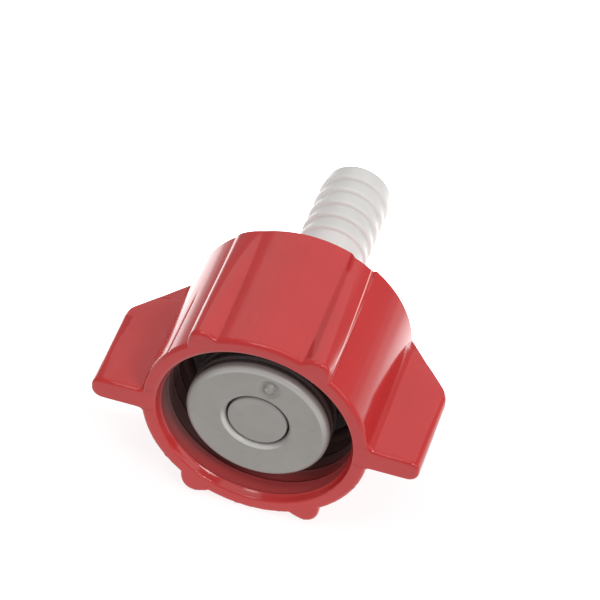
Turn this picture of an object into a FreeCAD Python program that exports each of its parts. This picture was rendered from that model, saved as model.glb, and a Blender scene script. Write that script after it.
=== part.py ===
"""Winged screw-on hose coupling with a shut-off poppet, one solid per piece.

+Y runs along the axis from the nut's mouth to the hose end, +X along the wings, +Z up.
The origin is on the axis in the plane of the nut's mouth. Every size is in millimetres.
"""
import FreeCAD, Part
import math
import os

Vector = FreeCAD.Vector
ORIGIN = Vector(0, 0, 0)
ALONG = Vector(0, 1, 0)

# ---- wing nut ----
NUT_R = 16.2              # outside of the nut at its mouth
NUT_BACK_R = 15.8         # moulding draft takes a little off at the back
NUT_LENGTH = 22.7
MOUTH_LAND_R = 14.25      # plain lead-in at the mouth
MOUTH_LAND_LENGTH = 0.9
THREAD_ROOT_R = 13.95
THREAD_CREST_R = 13.3
THREAD_PITCH = 2.3
THREAD_END = 10.6
THREAD_CREST_WIDTH = 0.55
THREAD_ROOT_WIDTH = 1.35
THREAD_SINK = 0.2         # the ridge's foot lies this deep in the wall
THREAD_MARGIN = 0.9       # from the land, and from the thread's end, to the middle of the nearest turn
NUT_BORE_R = 13.4         # plain bore behind the thread
BACK_WALL_FRONT = 19.5    # inner face of the nut's back wall
BACK_HOLE_R = 7.2
MOUTH_ROUNDING = 0.25
RIM_ROUNDING = 0.6
BACK_ROUNDING = 0.3
HOLE_ROUNDING = 0.3
BORE_ROUNDING = 0.6
LAND_SLOPE = 0.2          # length of the slope from the land to the thread's root
BORE_SLOPE = 0.6          # and from the thread's root to the plain bore

# ---- ribs on the nut ----
RIB_ANGLES = (60, 120, 240, 300)
RIB_HEIGHT = 1.75
RIB_HEIGHT_BACK = -0.35    # the crest line dips under the nut's surface before the back edge
RIB_HALF_WIDTH = 2.4
RIB_FOOT_DEPTH = 0.9       # the rib's straight foot lies this far under the nut's surface
RIB_FRONT = 0.15
RIB_BACK = NUT_LENGTH - 0.5
# half of the rib's section, from the crest outwards: share of the half width, share of the height
RIB_SECTION = ((0.0, 1.0), (0.42, 0.76), (0.7, 0.38), (1.0, -0.28))

# ---- wings on the nut ----
WING_TIP_X = 23.35
WING_THICKNESS = 3.5
WING_SHOULDER_Y = 14.3    # the tip edge ends here and the back edge slopes in
WING_ROOT_X = 14.7
WING_BACK_X = 16.0
WING_BACK = NUT_LENGTH - 0.1
WING_FRONT_ROUNDING = 1.3
WING_SHOULDER_ROUNDING = 3.0
WING_BACK_ROUNDING = 0.5
WING_EDGE_ROUNDING = 1.2

# ---- hose tail ----
FLANGE_R = 12.9
FLANGE_FRONT = 13.3
FLANGE_BACK = 18.4
SOCKET_R = 8.5            # socket in the flange that takes the core
SOCKET_END = 16.6
JOURNAL_R = BACK_HOLE_R - 0.08
RIDGE_R = 7.55            # snap ridge that keeps the nut on
RIDGE_FRONT = NUT_LENGTH + 0.15
RIDGE_BACK = NUT_LENGTH + 1.7
RIDGE_SLOPE = 0.9         # the ridge's back end is this much smaller in radius
RIDGE_ROUNDING = 0.1
NECK_R = 4.85
NECK_FRONT = NUT_LENGTH + 2.6
NECK_ROUNDING = 1.2
BORE_R = 3.3
TAIL_END = 49.8
TIP_R = 4.85
BARB_R = 5.24
BARB_ROOT_R = 4.7
BARB_PITCH = 2.715
BARB_COUNT = 5
LAST_BARB_Y = 46.8
BARB_LAND = 0.3
BARB_STEP = 0.25          # length of the steep side that faces the nut
EDGE_ROUNDING = 0.3       # outer edges of the flange, the ridge and the bore's end
TAIL_END_ROUNDING = 0.4

# ---- core ----
CORE_FRONT = 3.1
CORE_R = 9.1
CHAMBER_R = 7.6
CHAMBER_END = 15.2
CORE_HOLE_R = 5.0
CORE_ROUNDING = 0.2
CORE_HOLE_ROUNDING = 0.4

# ---- rubber on the core ----
BOOT_R = 9.9
BEAD_R = 10.2
BEAD_YS = (3.75, 5.55)
BEAD_WIDTH = 0.9
BEAD_LAND_SHARE = 0.4     # flat share of a bead's width
BEAD_ROUNDING = 0.1
GASKET_FRONT = 12.1
GASKET_ROUNDING = 0.2

# ---- face cap ----
DISC_R = 10.2
DISC_FRONT = 1.2
DISC_BACK = 3.1
BUTTON_HOLE_R = 4.5
HOLE_LIP_ROUNDING = 0.45
DISC_FRONT_ROUNDING = 0.9
DISC_BACK_ROUNDING = 0.3
CAP_TUBE_INNER_R = 6.6
CAP_TUBE_END = 8.0
CAP_TUBE_ROUNDING = 0.2
GATE_R = 7.15             # moulding gate mark on the disc
GATE_ANGLE = 78.5
DIMPLE_R = 1.65
DIMPLE_DEPTH = 0.15
GATE_NUB_R = 0.6
GATE_NUB_SINK = 0.15       # the nub's foot lies this deep under the dimple's floor
GATE_NUB_LENGTH = 0.15

# ---- poppet and its spring ----
BUTTON_R = 4.25
BUTTON_FRONT = 1.6
BUTTON_ROUNDING = 0.25
DISH_R = 3.4              # dished middle of the button
DISH_DEPTH = 0.15
DISH_EDGE_R = 3.8
DISH_ROUNDING = 1.5
SHOULDER_R = 6.1
SHOULDER_FRONT = 4.5
SHOULDER_BACK = 5.7
STEM_R = 1.5
STEM_END = 16.2
STEM_ROOT_ROUNDING = 0.4
STEM_END_ROUNDING = 0.5
POPPET_ROUNDING = 0.2
SEAL_CORD_R = 0.66
SEAL_RING_R = 5.05
SEAL_GAP = 0.02
GUIDE_FRONT = 13.2
GUIDE_HUB_R = 4.3
GUIDE_RIM_R = 6.4
GUIDE_HOLE_R = STEM_R + 0.06
GUIDE_ARM_SINK = 0.4      # each arm's ends lie this deep in the hub and the rim
GUIDE_FIRST_ARM = 90
GUIDE_ARMS = 3
GUIDE_ARM_WIDTH = 1.6
SPRING_R = 3.3
SPRING_WIRE_R = 0.3
SPRING_TURNS = 5
SPRING_GAP = 0.05

# ---- small rings ----
TAIL_RING_R = 6.8
TAIL_RING_CORD_R = 0.5
TAIL_GROOVE_HALF_WIDTH = 0.7
TAIL_GROOVE_DEPTH = 1.05
TAIL_RING_MIDDLE = SOCKET_END + 0.52
WASHER_R = 12.6
WASHER_BORE_R = 7.4
WASHER_BACK = 19.35

OVERCUT = 0.1             # how far a cutting shape stands out of what it cuts
TOUCHING = 1e-6


def rounded_face(corners):
    """Face in the XY plane from corners (x, y) or (x, y, radius), each radius rounding its corner."""
    count = len(corners)
    leaving = []
    arriving = []
    arcs = []
    for i, corner in enumerate(corners):
        here = Vector(corner[0], corner[1], 0)
        radius = corner[2] if len(corner) > 2 else 0.0
        before = Vector(*corners[i - 1][:2], 0) - here
        after = Vector(*corners[(i + 1) % count][:2], 0) - here
        if radius == 0.0:
            arriving.append(here)
            leaving.append(here)
            arcs.append(None)
            continue
        before.normalize()
        after.normalize()
        half = before.getAngle(after) / 2
        reach = radius / math.tan(half)
        middle = before + after
        middle.normalize()
        centre = here + middle * (radius / math.sin(half))
        arriving.append(here + before * reach)
        leaving.append(here + after * reach)
        arcs.append(centre - middle * radius)
    edges = []
    for i in range(count):
        if arcs[i] is not None:
            edges.append(Part.Arc(arriving[i], arcs[i], leaving[i]).toShape())
        start = leaving[i]
        end = arriving[(i + 1) % count]
        if start.distanceToPoint(end) > TOUCHING:
            edges.append(Part.LineSegment(start, end).toShape())
    return Part.Face(Part.Wire(edges))


def turned(corners):
    """Solid of revolution about the Y axis from corners (radius, y) or (radius, y, rounding)."""
    return rounded_face(corners).revolve(ORIGIN, ALONG, 360)


def tube(inner, outer, front, back):
    """Plain ring about the Y axis."""
    return turned([(inner, front), (outer, front), (outer, back), (inner, back)])


def rod(radius, front, back, x=0.0, z=0.0):
    """Round bar along +Y."""
    return Part.makeCylinder(radius, back - front, Vector(x, front, z), ALONG)


def ring_cord(ring_r, cord_r, y):
    """O-ring about the Y axis, its cord centred at y."""
    return Part.makeTorus(ring_r, cord_r, Vector(0, y, 0), ALONG)


def along_y(shape):
    """Turn a shape made along +Z so that it runs along +Y, keeping its handedness."""
    turned_shape = shape.copy()
    turned_shape.rotate(ORIGIN, Vector(1, 0, 0), -90)
    return turned_shape


# ---------------------------------------------------------------- wing nut

def nut_shell():
    """Turned body of the nut: mouth land, thread root, plain bore and back wall."""
    return turned([
        (MOUTH_LAND_R, 0, MOUTH_ROUNDING),
        (NUT_R, 0, RIM_ROUNDING),
        (NUT_BACK_R, NUT_LENGTH, BACK_ROUNDING),
        (BACK_HOLE_R, NUT_LENGTH, HOLE_ROUNDING),
        (BACK_HOLE_R, BACK_WALL_FRONT),
        (NUT_BORE_R, BACK_WALL_FRONT, BORE_ROUNDING),
        (NUT_BORE_R, THREAD_END + BORE_SLOPE),
        (THREAD_ROOT_R, THREAD_END),
        (THREAD_ROOT_R, MOUTH_LAND_LENGTH + LAND_SLOPE),
        (MOUTH_LAND_R, MOUTH_LAND_LENGTH),
    ])


def thread_ridge():
    """Right-hand helical ridge inside the nut, its foot sunk a little into the wall."""
    foot_r = THREAD_ROOT_R + THREAD_SINK
    first = MOUTH_LAND_LENGTH + THREAD_MARGIN
    height = THREAD_END - THREAD_MARGIN - first
    path = Part.makeHelix(THREAD_PITCH, height, foot_r)
    foot = THREAD_ROOT_WIDTH / 2
    crest = THREAD_CREST_WIDTH / 2
    corners = [
        Vector(foot_r, 0, -foot),
        Vector(THREAD_CREST_R, 0, -crest),
        Vector(THREAD_CREST_R, 0, crest),
        Vector(foot_r, 0, foot),
    ]
    profile = Part.makePolygon(corners + corners[:1])
    ridge = Part.Wire(path.Edges).makePipeShell([profile], True, True)
    ridge = along_y(ridge)
    ridge.translate(Vector(0, first, 0))
    return ridge


def rib_outline(y, height, angle):
    """Closed wire of one rib's section at y: a rounded bump on a straight foot."""
    body_r = NUT_R + (NUT_BACK_R - NUT_R) * y / NUT_LENGTH
    foot_r = body_r - RIB_FOOT_DEPTH
    left = [(-across, up) for across, up in reversed(RIB_SECTION[1:])]
    crown = [Vector(body_r + height * up, y, RIB_HALF_WIDTH * across)
             for across, up in left + list(RIB_SECTION)]
    curve = Part.BSplineCurve()
    curve.interpolate(crown)
    start = crown[0]
    end = crown[-1]
    foot_start = Vector(foot_r, y, start.z)
    foot_end = Vector(foot_r, y, end.z)
    wire = Part.Wire([
        Part.LineSegment(foot_start, start).toShape(),
        curve.toShape(),
        Part.LineSegment(end, foot_end).toShape(),
        Part.LineSegment(foot_end, foot_start).toShape(),
    ])
    wire.rotate(ORIGIN, ALONG, -angle)
    return wire


def rib(angle):
    """One long rib that stands full height at the mouth and runs out at the back."""
    front = rib_outline(RIB_FRONT, RIB_HEIGHT, angle)
    back = rib_outline(RIB_BACK, RIB_HEIGHT_BACK, angle)
    return Part.makeLoft([front, back], True, True)


def wing(side):
    """One flat wing, a five-sided plate with a rounded rim."""
    outline = rounded_face([
        (WING_ROOT_X, 0),
        (WING_TIP_X, 0, WING_FRONT_ROUNDING),
        (WING_TIP_X, WING_SHOULDER_Y, WING_SHOULDER_ROUNDING),
        (WING_BACK_X, WING_BACK, WING_BACK_ROUNDING),
        (WING_ROOT_X, WING_BACK),
    ])
    plate = outline.extrude(Vector(0, 0, WING_THICKNESS))
    plate.translate(Vector(0, 0, -WING_THICKNESS / 2))
    rim = []
    for edge in plate.Edges:
        middle = edge.CenterOfMass
        on_flat_side = abs(abs(middle.z) - WING_THICKNESS / 2) < TOUCHING
        at_root = middle.x < WING_ROOT_X + OVERCUT
        at_back = middle.y > WING_BACK - OVERCUT
        if on_flat_side and not at_root and not at_back:
            rim.append(edge)
    plate = plate.makeFillet(WING_EDGE_ROUNDING, rim)
    if side < 0:
        plate = plate.mirror(ORIGIN, Vector(1, 0, 0))
    return plate


def wing_nut():
    """The red nut: shell, internal thread, four ribs and two wings in one moulding."""
    outside = nut_shell().multiFuse([rib(a) for a in RIB_ANGLES] + [wing(1), wing(-1)])
    return outside.fuse(thread_ridge()).removeSplitter()


# ---------------------------------------------------------------- hose tail

def hose_tail():
    """Flange, journal with its snap ridge, neck and barbs, bored right through."""
    corners = [
        (BORE_R, SOCKET_END),
        (SOCKET_R, SOCKET_END),
        (SOCKET_R, FLANGE_FRONT),
        (FLANGE_R, FLANGE_FRONT, EDGE_ROUNDING),
        (FLANGE_R, FLANGE_BACK, EDGE_ROUNDING),
        (JOURNAL_R, FLANGE_BACK),
        (JOURNAL_R, RIDGE_FRONT),
        (RIDGE_R, RIDGE_FRONT, RIDGE_ROUNDING),
        (RIDGE_R - RIDGE_SLOPE, RIDGE_BACK, EDGE_ROUNDING),
        (NECK_R, NECK_FRONT, NECK_ROUNDING),
    ]
    for i in range(BARB_COUNT):
        crest = LAST_BARB_Y - (BARB_COUNT - 1 - i) * BARB_PITCH
        root = NECK_R if i == 0 else BARB_ROOT_R
        corners.append((root, crest - BARB_STEP))
        corners.append((BARB_R, crest))
        corners.append((BARB_R, crest + BARB_LAND))
    corners.append((TIP_R, TAIL_END, TAIL_END_ROUNDING))
    corners.append((BORE_R, TAIL_END, EDGE_ROUNDING))
    groove = tube(TAIL_RING_R - TAIL_GROOVE_HALF_WIDTH, TAIL_RING_R + TAIL_GROOVE_HALF_WIDTH,
                  SOCKET_END - OVERCUT, SOCKET_END + TAIL_GROOVE_DEPTH)
    return turned(corners).cut(groove)


def tail_o_ring():
    """Static seal in the floor of the tail's socket."""
    return ring_cord(TAIL_RING_R, TAIL_RING_CORD_R, TAIL_RING_MIDDLE)


def slip_washer():
    """Flat ring between the flange and the nut's back wall."""
    return tube(WASHER_BORE_R, WASHER_R, FLANGE_BACK, WASHER_BACK)


# ---------------------------------------------------------------- core

def core_body():
    """Tube that carries the face cap, the rubber boot and the poppet's guide."""
    return turned([
        (CHAMBER_R, CORE_FRONT, CORE_ROUNDING),
        (CORE_R, CORE_FRONT, CORE_ROUNDING),
        (CORE_R, FLANGE_FRONT),
        (SOCKET_R, FLANGE_FRONT),
        (SOCKET_R, SOCKET_END, CORE_ROUNDING),
        (CORE_HOLE_R, SOCKET_END, CORE_ROUNDING),
        (CORE_HOLE_R, CHAMBER_END, CORE_HOLE_ROUNDING),
        (CHAMBER_R, CHAMBER_END),
    ])


def seal_boot():
    """Rubber sleeve on the core with two raised sealing beads."""
    corners = [(CORE_R, CORE_FRONT), (BOOT_R, CORE_FRONT)]
    half_width = BEAD_WIDTH / 2
    half_land = half_width * BEAD_LAND_SHARE
    for y in BEAD_YS:
        corners.append((BOOT_R, y - half_width))
        corners.append((BEAD_R, y - half_land, BEAD_ROUNDING))
        corners.append((BEAD_R, y + half_land, BEAD_ROUNDING))
        corners.append((BOOT_R, y + half_width))
    corners.append((BOOT_R, FLANGE_FRONT))
    corners.append((CORE_R, FLANGE_FRONT))
    return turned(corners)


def rim_gasket():
    """Flat rubber ring on the flange, where the rim of the spout seats."""
    return turned([
        (BOOT_R, GASKET_FRONT),
        (FLANGE_R, GASKET_FRONT, GASKET_ROUNDING),
        (FLANGE_R, FLANGE_FRONT),
        (BOOT_R, FLANGE_FRONT),
    ])


def face_cap():
    """Front disc with the button's hole and a tube that plugs into the core."""
    cap = turned([
        (BUTTON_HOLE_R, DISC_FRONT, HOLE_LIP_ROUNDING),
        (DISC_R, DISC_FRONT, DISC_FRONT_ROUNDING),
        (DISC_R, DISC_BACK, DISC_BACK_ROUNDING),
        (CHAMBER_R, DISC_BACK),
        (CHAMBER_R, CAP_TUBE_END, CAP_TUBE_ROUNDING),
        (CAP_TUBE_INNER_R, CAP_TUBE_END, CAP_TUBE_ROUNDING),
        (CAP_TUBE_INNER_R, DISC_BACK),
        (BUTTON_HOLE_R, DISC_BACK, CAP_TUBE_ROUNDING),
    ])
    x = GATE_R * math.cos(math.radians(GATE_ANGLE))
    z = GATE_R * math.sin(math.radians(GATE_ANGLE))
    floor = DISC_FRONT + DIMPLE_DEPTH
    dimple = rod(DIMPLE_R, DISC_FRONT - OVERCUT, floor, x, z)
    nub = rod(GATE_NUB_R, floor - GATE_NUB_LENGTH, floor + GATE_NUB_SINK, x, z)
    return cap.cut(dimple).fuse(nub)


def spring_guide():
    """Spider pressed into the chamber: a hub for the stem, a rim and arms with flow gaps between."""
    hub = tube(GUIDE_HOLE_R, GUIDE_HUB_R, GUIDE_FRONT, CHAMBER_END)
    rim = tube(GUIDE_RIM_R, CHAMBER_R, GUIDE_FRONT, CHAMBER_END)
    pieces = [rim]
    arm_length = GUIDE_RIM_R - GUIDE_HUB_R + 2 * GUIDE_ARM_SINK
    for i in range(GUIDE_ARMS):
        arm = Part.makeBox(arm_length, CHAMBER_END - GUIDE_FRONT, GUIDE_ARM_WIDTH)
        arm.translate(Vector(GUIDE_HUB_R - GUIDE_ARM_SINK, GUIDE_FRONT, -GUIDE_ARM_WIDTH / 2))
        arm.rotate(ORIGIN, ALONG, GUIDE_FIRST_ARM + i * 360 / GUIDE_ARMS)
        pieces.append(arm)
    return hub.multiFuse(pieces).removeSplitter()


# ---------------------------------------------------------------- poppet

def poppet():
    """Button with a dished face, a shoulder for the seal and a guided stem."""
    return turned([
        (0, BUTTON_FRONT + DISH_DEPTH),
        (DISH_R, BUTTON_FRONT + DISH_DEPTH, DISH_ROUNDING),
        (DISH_EDGE_R, BUTTON_FRONT),
        (BUTTON_R, BUTTON_FRONT, BUTTON_ROUNDING),
        (BUTTON_R, SHOULDER_FRONT),
        (SHOULDER_R, SHOULDER_FRONT, POPPET_ROUNDING),
        (SHOULDER_R, SHOULDER_BACK, POPPET_ROUNDING),
        (STEM_R, SHOULDER_BACK, STEM_ROOT_ROUNDING),
        (STEM_R, STEM_END, STEM_END_ROUNDING),
        (0, STEM_END),
    ])


def poppet_seal():
    """O-ring between the poppet's shoulder and the back of the disc."""
    return ring_cord(SEAL_RING_R, SEAL_CORD_R, SHOULDER_FRONT - SEAL_CORD_R - SEAL_GAP)


def return_spring():
    """Round-wire compression spring between the shoulder and the guide."""
    first = SHOULDER_BACK + SPRING_WIRE_R + SPRING_GAP
    height = GUIDE_FRONT - SPRING_WIRE_R - SPRING_GAP - first
    pitch = height / SPRING_TURNS
    path = Part.makeHelix(pitch, height, SPRING_R)
    heading = Vector(0, 2 * math.pi * SPRING_R, pitch)
    circle = Part.Circle(Vector(SPRING_R, 0, 0), heading, SPRING_WIRE_R)
    halves = [Part.ArcOfCircle(circle, 0, math.pi), Part.ArcOfCircle(circle, math.pi, 2 * math.pi)]
    section = Part.Wire([half.toShape() for half in halves])
    spring = Part.Wire(path.Edges).makePipeShell([section], True, True)
    spring = along_y(spring)
    spring.translate(Vector(0, first, 0))
    return spring


MAKERS = (
    wing_nut,
    hose_tail,
    tail_o_ring,
    slip_washer,
    core_body,
    seal_boot,
    rim_gasket,
    face_cap,
    spring_guide,
    poppet,
    poppet_seal,
    return_spring,
)


def main():
    """Write one STEP file for each piece."""
    os.makedirs("parts", exist_ok=True)
    for maker in MAKERS:
        piece = maker()
        name = maker.__name__
        solids = piece.Solids
        box = piece.BoundBox
        print(f"{name}: {len(solids)} solid, valid {piece.isValid()}, {piece.Volume:.2f} mm3, "
              f"x {box.XMin:.2f} {box.XMax:.2f} y {box.YMin:.2f} {box.YMax:.2f} "
              f"z {box.ZMin:.2f} {box.ZMax:.2f}")
        shape = solids[0] if len(solids) == 1 else piece
        shape.exportStep(f"parts/{name}.step")


main()
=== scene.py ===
"""Winged hose coupling: the visible surfaces, finishes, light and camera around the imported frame.

+Y runs along the axis from the nut's mouth to the hose end, +X along the wings, +Z up.
Shapes are worked out in millimetres and put into the meshes in metres. A polar angle is
measured about the Y axis from +X towards +Z.
"""
import math

import bpy
import numpy as np
from mathutils import Matrix, Vector


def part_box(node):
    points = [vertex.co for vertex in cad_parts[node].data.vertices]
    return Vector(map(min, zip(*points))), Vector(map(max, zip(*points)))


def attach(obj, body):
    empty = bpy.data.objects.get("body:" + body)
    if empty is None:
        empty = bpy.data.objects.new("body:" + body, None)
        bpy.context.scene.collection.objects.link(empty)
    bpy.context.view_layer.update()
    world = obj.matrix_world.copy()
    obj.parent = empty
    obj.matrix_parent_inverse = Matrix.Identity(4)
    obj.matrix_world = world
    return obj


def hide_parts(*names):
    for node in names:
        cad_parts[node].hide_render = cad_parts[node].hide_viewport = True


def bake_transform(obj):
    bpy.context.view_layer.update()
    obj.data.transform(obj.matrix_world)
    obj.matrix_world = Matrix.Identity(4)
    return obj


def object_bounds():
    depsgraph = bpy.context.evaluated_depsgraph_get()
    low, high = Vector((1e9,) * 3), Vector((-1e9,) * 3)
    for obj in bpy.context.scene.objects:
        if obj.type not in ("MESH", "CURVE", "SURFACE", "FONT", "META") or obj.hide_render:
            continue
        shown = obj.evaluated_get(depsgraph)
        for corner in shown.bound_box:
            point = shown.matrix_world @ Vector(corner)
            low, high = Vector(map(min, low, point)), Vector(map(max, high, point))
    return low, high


MM = 0.001
PER_METRE = 1000.0  # millimetres in a metre
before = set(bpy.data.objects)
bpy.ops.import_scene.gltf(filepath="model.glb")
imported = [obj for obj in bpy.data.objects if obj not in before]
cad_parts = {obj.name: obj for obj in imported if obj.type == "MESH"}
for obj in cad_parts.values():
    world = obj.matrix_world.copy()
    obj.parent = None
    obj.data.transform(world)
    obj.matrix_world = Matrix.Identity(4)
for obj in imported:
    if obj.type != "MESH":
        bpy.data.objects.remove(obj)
cad_low, cad_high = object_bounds()


def corner_mm(node):
    """Lowest and highest corner of a CAD node in millimetres."""
    low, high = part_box(node)
    return np.array(low) / MM, np.array(high) / MM


nut_high = corner_mm("wing_nut")[1]
tail_low, tail_high = corner_mm("hose_tail")
cap_low, cap_high = corner_mm("face_cap")
poppet_low = corner_mm("poppet")[0]
boot_high = corner_mm("seal_boot")[1]
spring_low, spring_high = corner_mm("return_spring")

# ---- wing nut ----
NUT_R = nut_high[2]
NUT_BACK_R = 15.88
NUT_LENGTH = nut_high[1]
NUT_DRAFT = (NUT_R - NUT_BACK_R) / NUT_LENGTH
MOUTH_R = 14.3  # where the rim's face ends and the lead-in cone starts
CONE_END = 1.15  # the lead-in cone ends in a fine lip here
CONE_END_R = 13.62
THREAD_ROOT_R = 13.78
THREAD_CREST_R = 13.55
THREAD_PITCH = 2.3
THREAD_FIRST = 2.6  # depth of the ridge where it has risen to half its height
THREAD_LAST = 9.6
THREAD_FADE = 0.6
THREAD_TURN = 0.548  # where the ridge starts, as a share of a turn
THREAD_CREST_SHARE = 0.8  # where in its pitch the ridge peaks: a gentle front, a steep back
THREAD_SHARPNESS = 14  # of the ridge's crest: the higher, the less it is rounded
THREAD_END = 11.4
THREAD_RUNOUT = 0.5  # the root closes in to the plain bore over this length
CONE_LIP = (0.12, 0.35)  # behind the cone the lip stays this long, then has fallen to the root
CREST_BEAD = 0.08  # fine bead along the ridge's crest
CREST_BEAD_LEAD = 0.05  # the bead lies this share of the pitch before the crest
CREST_BEAD_WIDTH = 0.07  # as a share of the pitch
CONE_BEAD = 0.06  # and one on the end of the lead-in cone
CONE_BEAD_WIDTH = 0.1
BORE_R = 13.5
BACK_WALL_FRONT = 19.5
BACK_HOLE_R = 7.2
HOLE_CHAMFER = 0.3
RIM_ROUNDING = 0.65
BACK_ROUNDING = 0.12
MOUTH_ROUNDING = 0.3
MOUTH_TURN = 60  # the mouth's rounding goes over into the cone after so many degrees
FLASH_SEED = 11  # moulding flash on the rim's outer edge
FLASH_COUNT = 46
FLASH_ANGLES = (186, 352)  # where it lies, its half width in degrees, its height and its depth
FLASH_WIDTHS = (0.35, 1.1)
FLASH_HEIGHTS = (-0.05, 0.12)
FLASH_DEPTH = 0.35

# ---- ribs: outer is the side towards the wing, inner the one towards the top or bottom ----
RIB_ANGLE = 60.0  # from the wings' plane, in all four quarters
RIB_HEIGHT = 1.78
RIB_SPREAD = 8.2  # half width in degrees at the mouth
RIB_SHARPNESS = 0.88
# at the back, for the ribs on the right and on the left: height, crest and feet in degrees
RIB_BACK = {"right": (-0.45, 60.0, 51.6, 67.5), "left": (0.3, 53.6, 49.3, 66.0)}
FOOT_FALL = 1.7  # slope with which the arch runs on under the body beyond its feet
FOOT_BLEND = (0.07, 0.2)  # roundness of the hollow corner at the outer and the inner foot
RECESS_EDGE = (0.1, 0.5)  # share of the half width over which the recess steps down
OUTER_SHARPNESS = {"right": 0.45, "left": 0.88}  # of the outer flank, behind the rim
OUTER_CHANGE = 9.0  # the outer flank has changed to that sharpness at this depth
SEAM_ANGLE = 38.6  # a fine seam on the left of the nut, from the wings' plane
SEAM_START = 0.3
SEAM_END = 12.8
SEAM_FADES = (0.4, 1.5)  # it fades in and out over these lengths
SEAM_DEPTH = 0.09
SEAM_WIDTH = 0.28

# ---- wings ----
WING_TIP_X = nut_high[0]
WING_UP = 1.55
WING_DOWN = 2.05
WING_DRAFT = 0.0176
WING_SHOULDER_Y = 14.3
WING_BACK_X = 16.0
WING_BACK_Y = 22.65
WING_EDGE = 0.6  # share of the rim's rounding that the wings' edges have
WING_CORNER = 0.3  # rounding of the front corner, seen from above
WING_SHOULDER = 3.0
WING_SLOPE_ROUNDING = 0.55  # rounding of the slanted edge
WING_TIP_ROUNDING = 1.5
SLANT_LEAD = 2.0  # one rounding goes over into the other from so far before the shoulder
SLANT_RUN = 3.0
ROOT_UPPER_RIGHT = 1.9  # hollow rounding where each wing side meets the body
ROOT_UPPER_LEFT = 0.3
ROOT_LOWER = 1.0
ROOT_ROOM = 0.8  # the most it takes of the width there is between wing tip and body


# ---------------------------------------------------------------- mesh helpers

def closed_grid(name, points):
    """Mesh from points of shape (u, v, 3) in mm that closes on itself both ways, faces outwards."""
    count_u, count_v = points.shape[:2]
    number = np.arange(count_u * count_v).reshape(count_u, count_v)
    next_u = np.roll(number, -1, 0)
    quads = np.stack([number, next_u, np.roll(next_u, -1, 1), np.roll(number, -1, 1)], -1)
    return faced_mesh(name, points.reshape(-1, 3), quads.reshape(-1, 4), None)


def capped_tube(name, points, poles):
    """Mesh from points (around, along, 3) in mm that closes round its length.

    At each end a fan of triangles closes it onto one of the two poles.
    """
    around, along = points.shape[:2]
    number = np.arange(around * along).reshape(around, along)
    ahead = np.roll(number, -1, 0)
    quads = np.stack([number[:, :-1], ahead[:, :-1], ahead[:, 1:], number[:, 1:]], -1)
    pole = np.full(around, around * along)
    start = np.stack([pole, ahead[:, 0], number[:, 0]], -1)
    end = np.stack([pole + 1, number[:, -1], ahead[:, -1]], -1)
    points = np.concatenate([points.reshape(-1, 3), poles])
    return faced_mesh(name, points, quads.reshape(-1, 4), np.concatenate([start, end]))


def turned_solid(name, profile, count):
    """Mesh of revolution about Y from a profile (radius, y) that starts and ends on the axis."""
    poles = np.array([[0, profile[0, 1], 0], [0, profile[-1, 1], 0]])
    return capped_tube(name, spun(profile[1:-1], count), poles)


def turned_ring(name, profile, count, shift=None):
    """Mesh of revolution about Y from a closed profile (radius, y) that stays off the axis.

    shift, if given, moves the points: it takes and returns an array (around, along, 3).
    """
    rings = spun(profile, count)
    if shift is not None:
        rings = shift(rings)
    return closed_grid(name, rings)


def spun(profile, count):
    """Profile points (radius, y) carried round the Y axis: an array (count, points, 3)."""
    angle = np.arange(count) * 2 * np.pi / count
    radius, y = profile[:, 0], profile[:, 1]
    return np.stack([
        np.outer(np.cos(angle), radius),
        np.broadcast_to(y, (count, len(y))),
        np.outer(np.sin(angle), radius),
    ], -1)


def placed(name, data):
    """New object with this mesh, lamp or camera, linked into the scene."""
    made = bpy.data.objects.new(name, data)
    bpy.context.scene.collection.objects.link(made)
    return made


def faced_mesh(name, points, quads, triangles):
    """Object from vertices in mm and faces, turned so that the volume it encloses is positive."""
    corner = points[quads]
    volume = np.einsum("ij,ij->i", corner[:, 0], np.cross(corner[:, 1], corner[:, 2])).sum()
    volume += np.einsum("ij,ij->i", corner[:, 0], np.cross(corner[:, 2], corner[:, 3])).sum()
    flipped = volume < 0
    loops = [quads[:, ::-1] if flipped else quads]
    sizes = [np.full(len(quads), 4)]
    if triangles is not None:
        loops.append(triangles[:, ::-1] if flipped else triangles)
        sizes.append(np.full(len(triangles), 3))
    loop_vertex = np.concatenate([part.ravel() for part in loops])
    size = np.concatenate(sizes)
    mesh = bpy.data.meshes.new(name)
    mesh.vertices.add(len(points))
    mesh.vertices.foreach_set("co", (points * MM).astype(np.float32).ravel())
    mesh.loops.add(len(loop_vertex))
    mesh.loops.foreach_set("vertex_index", loop_vertex.astype(np.int32))
    mesh.polygons.add(len(size))
    starts = np.concatenate([[0], np.cumsum(size)[:-1]])
    mesh.polygons.foreach_set("loop_start", starts.astype(np.int32))
    mesh.polygons.foreach_set("use_smooth", np.ones(len(size), bool))
    mesh.update(calc_edges=True)
    mesh.validate()
    return placed(name, mesh)


def keep_edges(piece, degrees):
    """Shade smoothly across edges flatter than this angle and sharply across the others."""
    piece.data.set_sharp_from_angle(angle=math.radians(degrees))
    return piece


def stepped(*stops):
    """Values that run through the stops: each stop is (value, steps to reach it from the last)."""
    parts = [np.array([stops[0][0]], float)]
    last = stops[0][0]
    for value, steps in stops[1:]:
        parts.append(np.linspace(last, value, steps + 1)[1:])
        last = value
    return np.concatenate(parts)


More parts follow.
